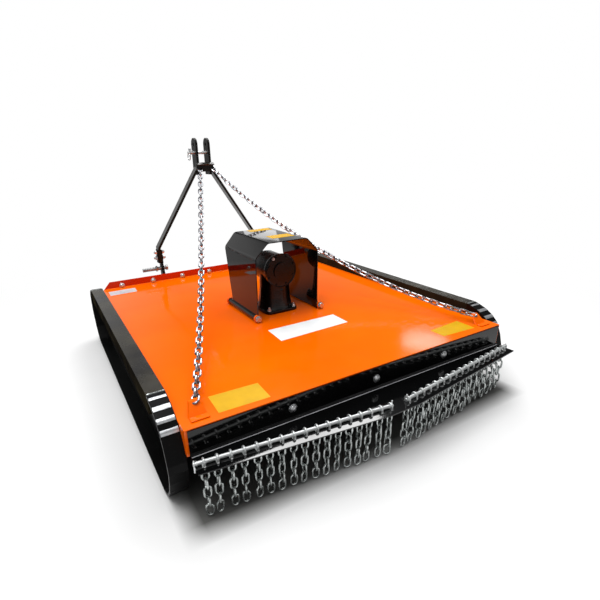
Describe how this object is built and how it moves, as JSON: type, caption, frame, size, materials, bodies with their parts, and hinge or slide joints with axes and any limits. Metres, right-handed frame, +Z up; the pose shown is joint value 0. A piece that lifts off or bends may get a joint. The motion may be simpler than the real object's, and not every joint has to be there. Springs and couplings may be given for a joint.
{
  "type": "three-point linkage rotary cutter",
  "caption": "Tractor-mounted rotary cutter: flat steel deck on side skids, A-frame headstock with lift chains, gearbox, swinging blades and a rear chain guard.",
  "frame": {"origin": "middle of the footprint, on the floor that the skids stand on", "axes": "+X to the machine's right, +Y forward towards the tractor, +Z up"},
  "size_m": [1.532, 1.786, 1.097],
  "materials": {
    "deck_paint": "gloss",
    "black_paint": "gloss",
    "frame_paint": "satin",
    "gearbox_casting": "painted",
    "flap_rubber": "matte",
    "zinc_steel": "zinc plated",
    "bare_steel": "machined"
  },
  "bodies": {
    "machine": {"chain_cross_plate": "black_paint", "chain_lugs": "deck_paint", "deck_channels": "deck_paint", "deck_plate": "deck_paint", "drive_shield": "black_paint", "flap_clamp_bars": "zinc_steel", "front_flap": "flap_rubber", "front_lip": "deck_paint", "gearbox_front_cap": "gearbox_casting", "gearbox_housing": "gearbox_casting", "gearbox_rear_cover": "gearbox_casting", "guard_chains_left": "zinc_steel", "guard_chains_right": "zinc_steel", "headstock_leg_left": "frame_paint", "headstock_leg_right": "frame_paint", "hitch_brackets": "black_paint", "lift_chains": "zinc_steel", "lower_hitch_pins": "zinc_steel", "rear_flange": "deck_paint", "rear_guard_plate": "black_paint", "shield_feet": "black_paint", "side_flanges": "deck_paint", "skid_plate_left": "black_paint", "skid_plate_right": "black_paint", "skid_shoe_left": "black_paint", "skid_shoe_right": "black_paint", "skid_tube_left": "black_paint", "skid_tube_right": "black_paint", "spindle_housing": "black_paint", "top_link_ears": "frame_paint", "top_link_pin": "zinc_steel"},
    "rotor": {"rotor_hub": "black_paint", "blade_carrier": "black_paint", "rotor_fasteners": "zinc_steel"},
    "blade_front": {"blade_front": "bare_steel"},
    "blade_rear": {"blade_rear": "bare_steel"},
    "input_shaft": {"input_shaft": "bare_steel"}
  },
  "joints": [
    {"name": "rotor_spin", "type": "hinge", "parent": "machine", "child": "rotor", "pos_m": [0, -0.005, 0.15], "axis": [0, 0, 1], "continuous": true},
    {"name": "blade_front_swing", "type": "hinge", "parent": "rotor", "child": "blade_front", "pos_m": [0, 0.42, 0.11], "axis": [0, 0, 1], "continuous": true},
    {"name": "blade_rear_swing", "type": "hinge", "parent": "rotor", "child": "blade_rear", "pos_m": [0, -0.43, 0.11], "axis": [0, 0, 1], "continuous": true},
    {"name": "input_spin", "type": "hinge", "parent": "machine", "child": "input_shaft", "pos_m": [0, 0.18, 0.493], "axis": [0, 1, 0], "continuous": true}
  ],
  "couplings": [
    {"joint": "input_spin", "follows": "rotor_spin", "ratio": 0.5185}
  ]
}
